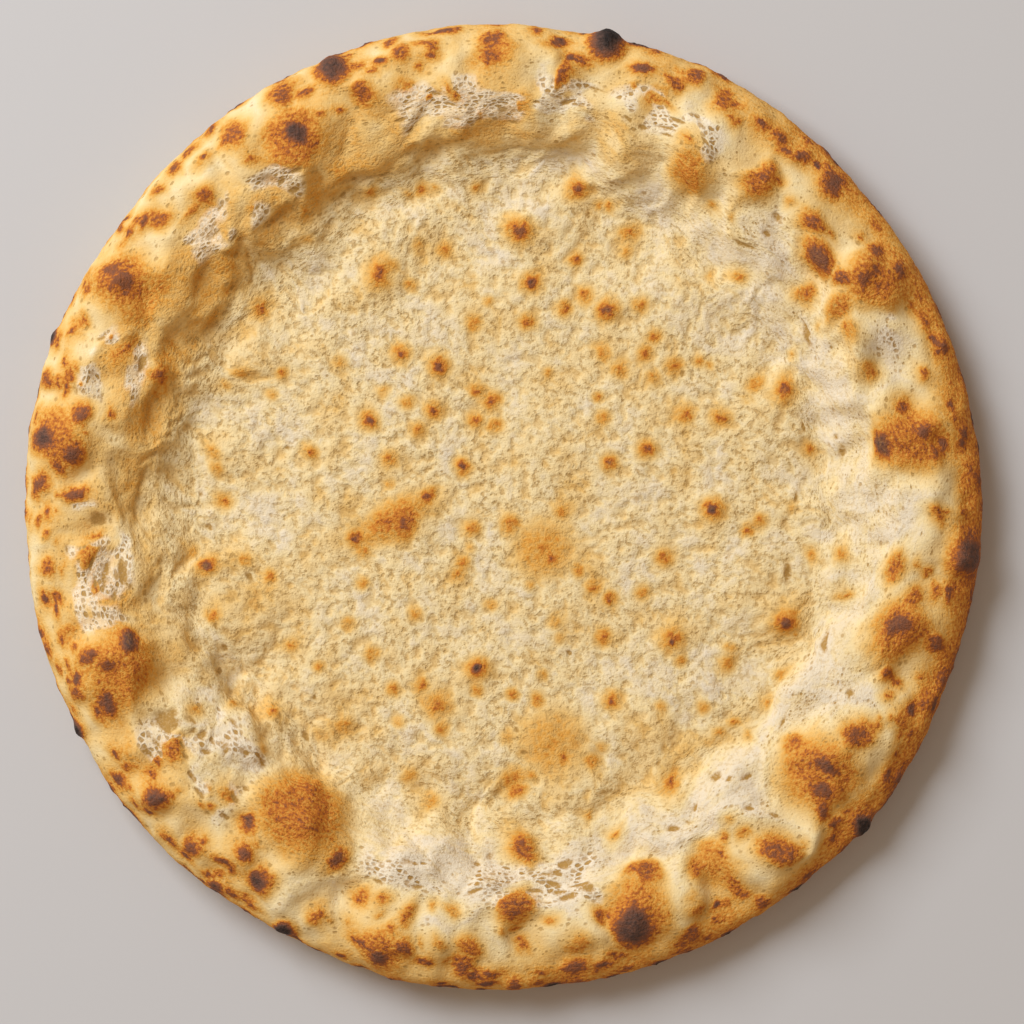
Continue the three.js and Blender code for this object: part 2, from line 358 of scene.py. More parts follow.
# %% Scorched spots on the rim: angle, distance from the axis, radius, heat
RIM_SCORCHES = [
    (9.5, 129, 16, 0.46), (8, 137, 4.5, 0.95), (10.5, 132, 4.5, 0.95), (7, 133, 4, 0.85),
    (14.5, 128.5, 4.5, 0.85), (9, 119.5, 6, 1.0), (20, 145, 4.5, 0.9), (18, 136.5, 3, 0.7),
    (20, 122, 4.5, 0.55), (26, 121, 6, 0.45), (30, 121, 7.5, 0.5), (31.5, 134, 14, 0.48),
    (31, 142, 4.5, 0.9), (34.5, 141, 4.5, 0.9), (32, 136, 4.5, 0.85), (32, 131, 5, 0.9),
    (34, 126.5, 4, 0.85), (38, 124, 7.5, 0.92), (42, 131.5, 6.5, 0.85), (36, 112.5, 5, 0.6),
    (44.5, 144.5, 7, 0.95), (49.5, 143, 5, 0.9), (52, 129.5, 9, 0.7), (52, 130, 4, 0.8),
    (61, 119, 11.5, 0.38), (61, 120, 4, 0.55), (61.5, 143.5, 4.5, 0.8), (66, 146, 4, 0.85),
    (67.5, 141.5, 3.5, 0.8), (70, 133.5, 4.5, 0.5), (77.5, 148, 8, 1.2), (71.5, 149, 3, 0.85),
    (81.5, 136, 6.5, 0.8), (91.2, 144.5, 6.5, 0.85), (91, 140, 5, 0.8), (91, 142, 10, 0.5),
    (88, 124.5, 5.5, 0.45), (93, 123, 4, 0.4), (86, 149, 3, 0.8), (96, 149, 3, 0.8), (99, 144, 4, 0.7),
    (103, 144, 4.5, 0.75), (103.5, 135, 3, 0.5), (104, 148.5, 3, 0.8), (111.5, 146, 8, 1.05),
    (109, 135, 5.5, 0.75), (119.5, 132, 14, 0.46), (119, 132, 5.5, 1.08), (118.5, 145, 7, 0.8),
    (126, 143, 7, 0.75), (135, 134, 6, 0.75), (134.5, 147, 4, 0.85), (140, 141, 5.5, 0.7),
    (144, 148.5, 3, 0.8), (149.5, 137, 15, 0.47), (149, 142, 5.5, 0.88), (149.5, 136, 9, 0.9),
    (156, 144, 3, 0.55), (160, 115, 6, 0.7), (161.5, 140, 3, 0.5), (159.5, 149.5, 4, 1.1),
    (164.5, 147.5, 4, 0.85), (171, 141, 13, 0.46), (171.5, 143.5, 6.5, 1.05), (167.5, 135.5, 5, 0.9),
    (172.5, 135, 5.5, 0.95), (174.5, 139, 4, 0.85), (177, 144.5, 5, 0.9), (178, 134, 5.5, 0.9),
    (181, 150, 3.5, 0.95), (183.5, 143, 3, 0.6), (187.5, 129.5, 6, 0.55), (187.5, 144, 4.5, 0.75),
    (191, 143, 4, 0.75), (203, 129, 19, 0.41), (199.5, 124, 7, 1.05), (206.5, 138, 5.5, 0.98),
    (200, 137, 5, 0.88), (203, 132.5, 4.5, 0.9), (203.5, 144.5, 4.5, 0.8), (207.5, 150, 5, 1.12),
    (214.5, 142.5, 3, 0.7), (216, 132, 3, 0.7), (216.5, 126, 6, 0.65), (219.5, 140, 6, 1.0),
    (217, 136, 3, 0.7), (227.5, 143, 5.5, 0.9), (226.5, 122, 5.5, 0.45), (231, 126.5, 5, 0.95),
    (232.5, 134.5, 4.5, 0.95), (236.5, 138, 6, 1.05), (236.5, 114, 20, 0.46), (242.5, 148.5, 5, 1.1),
    (243.5, 122.5, 4.5, 0.9), (250, 128.5, 4, 0.6), (254.5, 142, 11.5, 0.48), (254.5, 143.5, 5.5, 1.0),
    (257, 138, 4, 0.85), (256.5, 130, 4.5, 0.55), (265, 143, 5.5, 0.8), (266, 137, 5, 0.7),
    (263, 125, 4.5, 0.4), (271, 148.5, 4, 0.9), (272, 125, 8, 0.78), (273, 106, 6, 0.75),
    (273, 138, 3.5, 0.6), (279, 145.5, 5.5, 0.9), (279, 138, 6, 0.5), (287.5, 135.5, 11, 1.07),
    (288, 133, 16, 0.46), (283, 129.5, 4.5, 0.7), (289, 120, 4, 0.7), (291, 122.5, 6.5, 0.75),
    (294, 145, 4.5, 0.85), (295.5, 138, 4.5, 0.6), (298.5, 129, 5.5, 0.6), (301, 132, 11.5, 0.36),
    (301.5, 140, 4.5, 0.6), (303, 147, 4.5, 0.8), (308.5, 135, 7.5, 0.85), (320, 129, 17, 0.45),
    (321, 129, 7, 0.95), (318, 133, 5.5, 0.95), (316.5, 137, 4.5, 0.9), (321, 118, 4.5, 0.65),
    (318.5, 149, 6, 1.12), (327, 129, 6.5, 0.85), (331.5, 139.5, 5, 0.6), (335, 145, 4.5, 0.7),
    (342.5, 130, 15, 0.46), (343, 129, 8.5, 0.93), (342, 141, 5.5, 0.9), (337, 131.5, 4.5, 0.75),
    (347, 131, 4.5, 0.7), (351, 123, 5.5, 0.6), (354, 144.5, 10.9, 1.04), (358, 133, 5, 0.65),
]
print(len(RIM_SCORCHES), "scorches on the rim")

# %% Scorched spots on the middle: right of the axis, behind it, radius, heat
MIDDLE_SCORCHES = [
    (-77, 61, 8, 0.55), (-39.5, 72.5, 9, 0.62), (-69.5, 42, 3, 0.5), (-85.5, 38.5, 3, 0.4),
    (-64, 83.5, 4, 0.4), (-42.5, 27, 5.5, 0.85), (-61, 17, 4, 0.55), (-87.5, 2, 4.5, 0.5),
    (-92.5, -19.5, 6.5, 1.0), (-98, -14, 4.5, 0.4), (-74, -21.5, 4.5, 0.5), (-46.5, -10, 5.5, 0.85),
    (-44, -14, 4, 0.5), (-36, 15, 4.5, 0.45), (-72, -66, 5.5, 0.55), (-66, -43.5, 3.5, 0.4),
    (-41.5, -46, 4, 0.5), (-50, -68.5, 3.5, 0.42), (-35, -57, 3.5, 0.5), (-25.5, 98.5, 5.5, 0.62),
    (-9, 100.5, 4.5, 0.5), (5, 87, 9, 0.8), (24.5, 98, 7, 0.8), (-18.5, 80, 4.5, 0.45),
    (8.5, 70, 5.5, 1.0), (22.5, 77, 3.5, 0.65), (38.5, 84, 4.5, 0.52), (32.5, 61.5, 6.5, 0.9),
    (19, 62, 4.5, 0.5), (25, 66, 5.5, 0.45), (7.5, 58, 4.5, 0.6), (-9.5, 57.5, 4, 0.48),
    (-32.5, 48, 5.5, 0.7), (-20.5, 44, 6, 0.85), (31, 48, 3.5, 0.52), (36, 43, 4.5, 0.5),
    (-8.5, 36.5, 3.5, 0.6), (-4, 33, 5.5, 0.75), (-9, 27, 4.5, 0.6), (-3, 25.5, 3.5, 0.55),
    (-22, 30, 5, 0.65), (-27, 24, 4, 0.55), (-30.5, 32.5, 3.5, 0.5), (-13, 12.5, 4.5, 0.9),
    (33, 14, 4, 0.9), (-10, -6.5, 4.5, 0.55), (2, -5.5, 5.5, 0.52), (15, -16, 5.5, 0.65),
    (12, -13, 12, 0.42), (23, -19.5, 3.5, 0.55), (28, -25, 4, 0.55), (33, -29, 3.5, 0.6),
    (-14.5, -21, 3.5, 0.42), (18, -1.5, 4.5, 0.42), (31, -40.5, 5, 0.5), (-8.5, -50.5, 6, 1.15),
    (-21, -62, 9, 0.48), (-21, -61.5, 3.5, 0.7), (-26, -56, 4, 0.5), (-19.5, -69, 4, 0.5),
    (10.5, -60, 3.5, 0.5), (2.5, -58.5, 2, 0.6), (33.5, -60.5, 5.5, 0.65), (15, -74, 15, 0.36),
    (17.5, -79, 3.5, 0.65), (4, -90, 4.5, 0.65), (2, -86, 8, 0.42), (27, -79.5, 4, 0.45),
    (-25, -94, 4.5, 0.42), (27, -95, 3, 0.45), (35, -101.5, 4, 0.4), (87.5, 35, 8.5, 0.78),
    (72, 73.5, 3.5, 0.52), (42.5, 63, 4.5, 0.55), (44, 48, 4.5, 0.58), (47, 53, 3, 0.5),
    (46.5, 40.5, 3.5, 0.5), (53, 44, 5.5, 0.42), (61, 45.5, 3.5, 0.5), (56.5, 29, 5.5, 0.62),
    (67.5, 28, 6, 0.58), (44.5, 18, 5, 0.7), (65, -1, 6.5, 1.0), (80.5, -4, 3.5, 0.5),
    (76.5, -7, 3, 0.62), (50, -16, 5, 0.52), (96, 18, 4.5, 0.48), (43, -27, 4, 0.45), (86, -34.5, 9, 0.9),
    (52.5, -41, 7.5, 0.65), (52.5, -42, 3.5, 0.9), (53.5, -83.5, 6.5, 0.68), (67, -71.5, 4, 0.52),
    (72, -68.5, 3, 0.5), (81.5, -60.5, 4, 0.45), (70, -49, 4, 0.42), (105, -15, 3.5, 0.4),
    (104.5, -26, 4, 0.42), (70, -106, 5.5, 0.42),
]
# Smeared ones: right of the axis, behind it, half length, half width, direction, heat.
SMEARS = [(-35, -4, 17, 7, 32, 0.4), (-31, -5, 7, 4.2, 60, 0.6), (-24.4, 3.1, 3, 2, 45, 0.65)]
print(len(MIDDLE_SCORCHES), "scorches on the middle")

# %% [markdown]
# Between the large spots lie many small ones that nobody would place one by one. They are strewn with a
# fixed seed, so that every run gives the same base: flecks on the outer band, specks on the crest, pale
# dots on the middle, and leopard spots on the underside, which rested on the hot stone.

# %% Strewn flecks: angle, distance from the axis, radius, heat, stretch along the rim
OUTER_FLECKS = 170
EDGE_FLECKS = 70
EDGE = 150
CREST_SPECKS = 120
MIDDLE_DOTS = 70
STONE_MARKS = 160
STONE_REACH = 138
dice = random.Random(71)
between = dice.uniform

flecks = []
for _ in range(OUTER_FLECKS):
    flecks.append((between(0, 360), between(141, EDGE), between(1.2, 2.8), between(0.5, 0.85), 2.0))
for _ in range(EDGE_FLECKS):
    flecks.append((between(0, 360), EDGE, between(0.9, 1.8), between(0.85, 1.15), 3.0))
for _ in range(CREST_SPECKS):
    flecks.append((between(0, 360), between(126, 142), between(1.0, 2.4), between(0.35, 0.65), 1.3))
for _ in range(MIDDLE_DOTS):
    dot = as_angle_and_reach(between(-100, 100), between(-100, 100))
    flecks.append((*dot, between(1.2, 2.6), between(0.25, 0.4), 1.0))
# The root of an even chance strews the marks evenly over a disc.
stone_marks = []
for _ in range(STONE_MARKS):
    from_axis = math.sqrt(dice.random()) * STONE_REACH
    stone_marks.append((between(0, 360), from_axis, between(3, 9), between(0.45, 0.95)))
print(len(flecks), "flecks and", len(stone_marks), "marks of the stone")

# %% All spots: angle, distance from the axis, radius, heat, stretch, angle of the short side
DOME = 11.0
# The share of its heat that a spot took. Charred ones took more, domes and blackened ones all of it.
FIRE = 0.78
CHARRED = 0.85
CHAR_GAIN = 0.2
BLACKENED = 1.1
SMALLEST_CORE = 1.5

spots = []
for turn, from_axis, spot_radius, spot_heat in RIM_SCORCHES:
    share = FIRE + CHAR_GAIN * max(0.0, spot_heat - CHARRED)
    if spot_heat >= BLACKENED or spot_radius > DOME:
        share = 1.0
    spots.append((turn, from_axis, spot_radius, share * spot_heat, 1.0, turn))
for x, y, spot_radius, spot_heat in MIDDLE_SCORCHES:
    spot = as_angle_and_reach(x, y)
    if spot_radius > DOME:
        spots.append((*spot, spot_radius, FIRE * spot_heat, 1.0, 0.0))
    else:
        # A spot of the middle is a small brown core in a golden ring.
        core = max(SMALLEST_CORE, 0.4 * spot_radius)
        golden_ring = 0.4 + 0.65 * spot_radius
        spots.append((*spot, core, 0.1 + 0.75 * spot_heat, 1.0, 0.0))
        spots.append((*spot, golden_ring, 0.17 + 0.25 * spot_heat, 1.0, 0.0))
for x, y, half_length, half_width, direction, spot_heat in SMEARS:
    stretch = half_length / half_width
    spots.append((*as_angle_and_reach(x, y), half_width, spot_heat, stretch, direction - 90))
spots += [(*fleck, fleck[0]) for fleck in flecks]
print(len(spots), "spots to bake on top")


# %% How near a spot is, and how its heat falls off
def closeness(centre, spot_radius, turn=0.0, stretch=1.0):
    """1 in the middle of a spot, 0 from its edge on. A stretched spot has its short side along the turn."""
    offset = ragged - centre
    sideways = offset @ np.array((-math.sin(turn), math.cos(turn), 0.0))
    square = (offset**2).sum(1) - sideways**2 * (1 - 1 / stretch**2)
    return np.clip(1 - np.sqrt(np.maximum(square, 0)) / spot_radius, 0, 1)


# Above 1 the heat stays even round a spot's centre and falls off near its edge.
DOME_EVENNESS = 1.6
SPOT_EVENNESS = 1.4


def spot_profile(near, spot_radius, on_middle):
    """The share of its heat that a spot has here. A wide patch of the middle falls off from its centre on."""
    if on_middle and spot_radius > DOME:
        return near
    return np.minimum(1, (DOME_EVENNESS if spot_radius > DOME else SPOT_EVENNESS) * near)


print("a spot keeps all its heat up to", round(1 - 1 / SPOT_EVENNESS, 2), "of the way out")

# %% Heat, golden halo and raised tip of every spot
HALO_HEAT = 0.4
HALO_GAIN = 0.25
HALO_WIDTH = 1.2
MIDDLE_HALO_EVENNESS = 1.5
SMALL_SPOT = 5.0
# How far the halo reaches beyond the spot, and how high the tip stands, as a share of the radius.
HALO_MARGIN = {"middle": 1.8, "rim": 3.0}
TIP_SHARE = {"middle": 0.36, "rim": 0.24}

heat = np.zeros(len(along))
halo = np.zeros(len(along))
tip_lift = np.zeros(len(along))
for turn, from_axis, spot_radius, spot_heat, stretch, lean in spots:
    centre = place_on_top(turn, from_axis)
    on_middle = from_axis < RIM_FOOT.min()
    part = "middle" if on_middle else "rim"
    near = closeness(centre, spot_radius, math.radians(lean), stretch) * on_top
    heat = np.maximum(heat, spot_heat * spot_profile(near, spot_radius, on_middle))
    halo_radius = HALO_WIDTH * spot_radius + HALO_MARGIN[part]
    halo_near = closeness(centre, halo_radius, math.radians(lean), stretch) * on_top
    if on_middle:
        halo_near = np.minimum(1, MIDDLE_HALO_EVENNESS * halo_near)
    halo = np.maximum(halo, HALO_HEAT * min(1.0, spot_heat + HALO_GAIN) * halo_near)
    tip_height = TIP_SHARE[part] * min(spot_radius, SMALL_SPOT) * spot_heat
    tip_lift = np.maximum(tip_lift, tip_height * fade(near, 0, 1))
for turn, from_axis, spot_radius, spot_heat in stone_marks:
    round_to = math.radians(turn)
    centre = np.array((from_axis * math.cos(round_to), from_axis * math.sin(round_to), 0))
    heat = np.maximum(heat, spot_heat * closeness(centre, spot_radius) * (1 - on_top))
print("scorched share of the skin:", (heat > 0.4).mean().round(3))

# %% [markdown]
# The rest of the skin is baked too: palest on the inner slope, golden on the shoulder, brown at the side.
# This could be painted by hand. A tone for each place along the section, a few warm places and soft
# patches of noise do the same, and a number changes them. Some of these are painted light and shade: the
# inner slope and its foot are darker where they turn from the light, and the outside is paler towards it.

# %% Baking of the plain skin
BAKE_PLACES = [0.0, 1.0, 1.5, 2.0, 2.4, 2.75, 3.0, 3.3, 3.9, 4.1, 5.0]
BAKE_TONES = [0.22, 0.3, 0.34, 0.25, 0.17, 0.095, 0.04, 0.0, 0.045, 0.085, 0.095]
# The side of the inner slope that turns away from the light and lies in shade.
SHADED_SLOPE_TURN = 126
# How much tone is added, where along the section it comes and goes, at which angle, and how closely it
# keeps to it. Three of these are painted shade, marked below.
WARM_AND_SHADED_PLACES = [
    # Painted shade: the inner slope darker and warmer where it turns away from the light.
    (0.24, (2.6, 3.2), (3.45, 3.85), SHADED_SLOPE_TURN, 1),
    # Painted shade: the foot of the slope on the left, where the rim's creases shadow it.
    (0.05, (3.35, 3.65), (3.8, 4.1), 162, 2),
    (0.07, (3.6, 3.9), (3.95, 4.2), 305, 4),
    (0.13, (2.4, 2.8), (3.1, 3.6), 218, 6),
    # Painted shade: the foot of the slope on the front left, under its deep crease.
    (0.05, (3.4, 3.7), (4.1, 4.4), 218, 8),
]
# The outside is paler than its tone on the side towards the light and browner on the side away from it:
# partly its own bake, and partly painted light and painted shade.
PALE_LIT_SIDE = math.radians(165)
PALER = 0.12
BROWNER = 0.36

plain_bake_and_shade = np.interp(along, BAKE_PLACES, BAKE_TONES)
for warmth, comes, goes, turn, keeps_to in WARM_AND_SHADED_PLACES:
    plain_bake_and_shade += warmth * fade(along, *comes) * (1 - fade(along, *goes)) * facing(turn) ** keeps_to
off_lit_side = ((1 - np.cos(angle - PALE_LIT_SIDE)) / 2) ** 1.5
plain_bake_and_shade += on_outside * (BROWNER * off_lit_side - PALER)
print("plain skin is baked up to", plain_bake_and_shade.max().round(2))

# %% Patches in the baking, and all heat together
MIDDLE_PATCHES, RIM_PATCHES, UNDERSIDE_PATCHES = 0.07, 0.08, 0.1
MIDDLE_MOTTLE, SLOPE_MOTTLE, SLOPE_BLOTCHES = 0.035, 0.06, 0.04
MOTTLE_SIZE = 4.0
# Where two tones meet, the stronger one shows, and this share of the weaker one is added.
HALO_SHARE = 0.3
WARM_SHARE = 0.2

patch_share = MIDDLE_PATCHES * in_middle + RIM_PATCHES * on_rim + UNDERSIDE_PATCHES * (1 - on_top)
plain_bake_and_shade += patch_share * (patchy + blotchy)
mottled = hills(MOTTLE_SIZE, 2, shift=55.0)
plain_bake_and_shade += (MIDDLE_MOTTLE * in_middle + SLOPE_MOTTLE * on_slope) * mottled
plain_bake_and_shade += SLOPE_BLOTCHES * on_slope * blotchy
warm = np.maximum(plain_bake_and_shade, halo) + HALO_SHARE * np.minimum(plain_bake_and_shade, halo)
toast = np.maximum(warm, heat) + WARM_SHARE * np.minimum(warm, heat) * (1 - fade(heat, 0.4, 0.8))
print("baked from", toast.min().round(2), "to", toast.max().round(2))

# %% [markdown]
# Where gas broke through, the skin tore. On the rim it left webs of threads between pits, and elsewhere
# single pits and slits, placed one by one. Webs come from Voronoi cells: the threads run where two cells
# meet, and each cell's middle sinks in.

# %% Torn zones: first and last angle, inner and outer distance from the axis
TORN_ZONES = [
    (58, 76, 124, 138), (75, 107, 119, 136), (121, 134, 115, 131), (132, 145, 118, 131),
    (154, 166, 118, 140), (178, 198, 117, 138), (210, 229, 108, 135), (246, 258, 114, 124),
    (264, 286, 108, 127), (20, 28, 126, 137),
]
# The edge of a zone is soft, from this far outside it to that far inside.
EDGE_OUTSIDE, EDGE_INSIDE = 2, 3
TEAR_SIZE = 9.0


def inside(value, first, last):
    """1 between first and last, 0 outside, with soft edges."""
    begun = fade(value, first - EDGE_OUTSIDE, first + EDGE_INSIDE)
    return begun * (1 - fade(value, last - EDGE_INSIDE, last + EDGE_OUTSIDE))


degrees = np.degrees(angle) % 360
torn = np.zeros(len(along))
for first, last, inner, outer in TORN_ZONES:
    torn = np.maximum(torn, inside(degrees, first, last) * inside(radius, inner, outer))
torn *= on_top * fade(hills(TEAR_SIZE, 2, shift=31.0), -0.45, 0.1) * (1 - fade(heat, 0.25, 0.5))
print("torn share of the skin:", (torn > 0.3).mean().round(3))

# %% Webs in the torn zones
WEB_CELL = 4.2
WEB_STRETCH = 1.7
WEB_THREAD = 0.12
WEB_SLOPE = 1.8
HARDLY_TORN = 0.02
# Each cell's own chance, from where its centre lies, makes some pits large and leaves some closed.
CHANCE_MIX = (12.9, 78.2, 37.7)
SMALLEST_PIT, PIT_RANGE = 0.2, 0.7

web_points = np.column_stack((smooth[:, :2] / WEB_STRETCH, travel)) / WEB_CELL
web = np.zeros(len(along))
for i in np.flatnonzero(torn > HARDLY_TORN):
    distances, centres = noise.voronoi(Vector(web_points[i]))
    own_chance = math.sin(centres[0].dot(CHANCE_MIX)) ** 2
    off_thread = distances[1] - distances[0] - WEB_THREAD
    web[i] = min(SMALLEST_PIT + PIT_RANGE * own_chance - distances[0], off_thread)
web_pit = fade(torn, 0.2, 0.6) * np.clip(WEB_SLOPE * web, 0, 1) * (torn > HARDLY_TORN)
print("webbed share of the skin:", (web_pit > 0.1).mean().round(3))

# %% Pits and slits: right of the axis, behind it, half length along the rim, half width, depth
PITS = [
    (-104, -66, 4.5, 4, 1.8), (-102, -62.5, 1.8, 1.6, 0.9), (-98, -65.5, 2.4, 1.5, 0.9),
    (-97, -69, 1.7, 1.4, 0.9), (-93.5, -70.5, 2.2, 2, 1.0), (-86.5, -74.5, 2.8, 1.4, 1.0),
    (-86.5, -77, 1.3, 1.2, 0.7), (-77, -79, 3.2, 1.3, 1.0), (-81, -77.5, 1.8, 1.2, 0.7),
    (-97, -77.5, 1.8, 1.6, 0.9), (-95.5, -83.5, 2.4, 2, 1.0), (-94, -88, 3.2, 1.3, 0.9),
    (-92.5, -95.5, 2, 1, 0.7), (-86.5, -99.5, 2.2, 1.1, 0.7), (-129, -4, 2.8, 2.4, 1.0),
    (93, 54, 7, 1.3, 1.0), (75, 82, 4.5, 1.2, 0.9), (87, 90, 2.6, 1.6, 1.0), (83, 86, 2, 1.6, 0.9),
    (104.5, 18, 3.6, 1.2, 1.0), (104, 24, 1.8, 1.2, 0.8), (93, 24, 2.4, 1.1, 0.7),
    (93, 4.5, 2.6, 1.2, 0.7), (87, -21, 4, 1.5, 0.9), (102, -43.5, 4.5, 1.6, 1.0),
    (108, -56.5, 2.4, 1.3, 0.8), (77, -94, 2.2, 1.3, 0.8), (84, -93.5, 2, 1.3, 0.8),
    (53, -98.5, 2.8, 1.7, 0.9), (58.5, -95.5, 1.5, 1.3, 0.8), (61, -91, 1.7, 1.4, 0.8),
    (67, -84.5, 1.8, 1.4, 0.8), (71, -85.5, 1.5, 1.3, 0.8), (75, -84, 3, 1.1, 0.7),
    (48, -77.5, 1.4, 1.3, 0.7), (83.5, -73, 3, 0.9, 0.8), (87.5, -67.5, 3, 0.9, 0.8),
    (94, -60.5, 3, 0.9, 0.8), (20, -121, 2.8, 2.6, 1.2), (25.5, -118.5, 3, 2.6, 1.2),
    (15, -112, 2.2, 1.6, 0.9), (-4, -107.5, 2, 1.3, 0.8), (-94.5, 4, 1.6, 1.4, 1.0),
    (-92.5, -6.5, 1.6, 1.1, 0.9), (-68, 18.5, 1.2, 1.1, 0.9), (-81, -23, 2.8, 1.1, 0.9),
    (-88.5, -35, 1.7, 1.2, 1.0), (-85.5, -36, 1.4, 1.1, 0.9), (-86.5, -41, 1.8, 1.5, 1.0),
    (-61.5, -72.5, 2.2, 1.3, 0.8), (-58.5, -59.5, 1.2, 1, 0.8), (20.5, -45.5, 1.2, 1.1, 1.0),
    (56, 41.5, 1.3, 1.1, 1.0), (-8, -85.5, 1.7, 1.1, 0.9), (3.5, -69.5, 1.5, 1.3, 0.8),
    (6, -77, 1.4, 1.2, 0.8),
]
PIT_REACH = 1.2
PIT_SHARE = 0.7
pit = np.zeros(len(along))
pit_depth = np.zeros(len(along))
for x, y, half_length, half_width, depth in PITS:
    turn, from_axis = as_angle_and_reach(x, y)
    centre = place_on_top(turn, from_axis)
    near = closeness(centre, PIT_REACH * half_width, math.radians(turn), half_length / half_width) * on_top
    pit_depth = np.maximum(pit_depth, PIT_SHARE * depth * fade(near, 0.0, 0.8))
    pit = np.maximum(pit, near)
print(len(PITS), "pits and slits, up to", pit_depth.max().round(1), "mm deep")

# %% Creases at the foot of the slope: right of the axis, behind it, half length, steep width, depth
CREASES = [
    (-70, 91, 11, 1.8, 2.6), (-84, 80, 9, 1.8, 2.0), (-95, 69, 10, 1.8, 2.6), (-102, 54, 9, 1.8, 2.0),
    (-88, -53, 15, 2.2, 4.2), (-78, -65, 11, 2.2, 3.4), (-62, -77, 11, 2.2, 2.2),
    (-45, -91, 10, 2.2, 1.6), (-24, 112, 11, 2.2, 2.2), (-46, 103, 10, 1.8, 3.0), (6, 112, 10, 2.2, 1.6),
    (-111, 30, 13, 2.0, 2.6), (-112, 2, 12, 2.0, 2.2),
]
# A crease has a steep wall towards the rim, and this wide a way up to the middle.
GENTLE_WIDTH = 9.0
for x, y, half_length, steep_width, depth in CREASES:
    turn, from_axis = as_angle_and_reach(x, y)
    round_to = math.radians(turn)
    offset = ragged - place_on_top(turn, from_axis)
    inward = -offset @ np.array((math.cos(round_to), math.sin(round_to), 0.0))
    sideways = offset @ np.array((-math.sin(round_to), math.cos(round_to), 0.0))
    across = np.where(inward > 0, inward / GENTLE_WIDTH, -inward / steep_width)
    near = np.clip(1 - np.hypot(across, sideways / half_length), 0, 1) * on_top
    pit_depth = np.maximum(pit_depth, depth * fade(near, 0.0, 1.0))
print(len(CREASES), "creases, up to", pit_depth.max().round(1), "mm deep")

# %% [markdown]
# The middle is crumb, not skin: soft lumps a few millimetres wide, with hollows of a deeper tone, partly the
# crumb's own and partly painted shade. They are real relief, from noise of two sizes, and the tiny holes are
# left to the material. The rim's skin is craggy where it was scorched, and folds run along its slope, where
# noise long along the rim passes zero. The folds are darkened as painted shade.

# %% Crumb, wrinkles, folds and crags
LUMP = 4.0
LUMP_HEIGHT = 0.34
HOLLOW_DEPTH = 0.45
WRINKLE_HEIGHT = 0.35
SLOPE_LUMP = 7.0
SLOPE_LUMP_HEIGHT = 0.8
FOLD_LENGTH = 17.0
FOLD_SPACING = 7.0
# The width of a fold is a share of the noise it is cut from.
FOLD_WIDTH = 0.16
FOLD_DEPTH = 0.25
CRAG = 2.4
CRAG_HEIGHT = 0.5
CRAGGY_FROM, CRAGGY_RANGE = 0.25, 0.8

lumps = hills(LUMP, 3, shift=13.0)
small_lumps = hills(LUMP / 2, 2, shift=29.0)
slope_lumps = hills(SLOPE_LUMP, 3, shift=97.0)
crags = hills(CRAG, 3, shift=61.0)
fold_points = np.column_stack((smooth[:, :2] / FOLD_LENGTH, travel / FOLD_SPACING))
folds = np.clip(1 - abs(hills(1.0, 2, fold_points, 23.0)) / FOLD_WIDTH, 0, 1) * on_slope
bare_crumb = crumbly * (1 - 0.6 * fade(halo, 0.1, 0.28))
hollow = bare_crumb * fade(-(lumps + 0.6 * small_lumps), 0.08, 0.4)
texture = bare_crumb * LUMP_HEIGHT * (lumps + 0.5 * small_lumps) - HOLLOW_DEPTH * hollow
texture += WRINKLE_HEIGHT * on_rim * lumps + SLOPE_LUMP_HEIGHT * on_slope * slope_lumps - FOLD_DEPTH * folds
texture += CRAG_HEIGHT * np.clip(toast - CRAGGY_FROM, 0, CRAGGY_RANGE) * crags * on_top
print("crumb and crags stand up to", texture.max().round(2), "mm high")

# %% Tone of hollows, folds and torn skin
HOLLOW_TONE_AND_SHADE = 0.05
FOLD_SHADE = 0.04
TORN_PALER = 0.04
HOLLOW_AS_PIT = 0.28
# Hollows are darker, partly their own tone and partly painted shade. Folds are darker as painted shade. Torn
# skin is paler.
toast += HOLLOW_TONE_AND_SHADE * hollow * (1 - fade(heat, 0.3, 0.6)) + FOLD_SHADE * folds - TORN_PALER * torn
pit = np.maximum(pit, HOLLOW_AS_PIT * hollow)
print("hollow share of the skin:", (hollow > 0.5).mean().round(2))

# %% How porous, open and crumbly the skin is, for the material
# Small pores: on the crumb, on the rim's skin, and how many more in blotches of that skin.
CRUMB_PORES, SKIN_PORES, BLOTCH_PORES = 0.62, 0.55, 0.4
# Larger pores: on the crumb, the rim, the slope, and lumps of the shaded slope. Whole skin has few of them.
OPEN_CRUMB, OPEN_RIM, OPEN_SLOPE, OPEN_SHADE = 0.3, 0.5, 0.2, 0.35
WHOLE_SKIN = 0.58
TORN_SKIN = 1.15
# Crumb also shows on the slope, and most on its shaded side.
SHADED_CRUMB, SLOPE_CRUMB = 0.8, 0.55
VARIED = 0.3

unbaked = 1 - fade(toast, 0.28, 0.45)
shaded_slope = on_slope * facing(SHADED_SLOPE_TURN)
crumb_pores = CRUMB_PORES * bare_crumb * (1 + VARIED * blotchy)
skin_pores = fade(along, 2.3, 2.8) * (SKIN_PORES + BLOTCH_PORES * fade(blotchy, -0.1, 0.4)) * (1 - crumbly)
porous = unbaked * np.maximum(torn, crumb_pores + skin_pores)
whole_skin = OPEN_CRUMB * bare_crumb * (1 + VARIED * patchy) + OPEN_RIM * on_rim + OPEN_SLOPE * on_slope
whole_skin += OPEN_SHADE * shaded_slope * fade(slope_lumps, 0.0, 0.5)
open_skin = unbaked * np.maximum(TORN_SKIN * torn, np.minimum(whole_skin, WHOLE_SKIN))
crumb_share = np.maximum(bare_crumb, np.maximum(SHADED_CRUMB * shaded_slope, SLOPE_CRUMB * on_slope))
crumb = crumb_share * (0.9 + 0.5 * blotchy)
print("porous by", porous.mean().round(2), "on average")
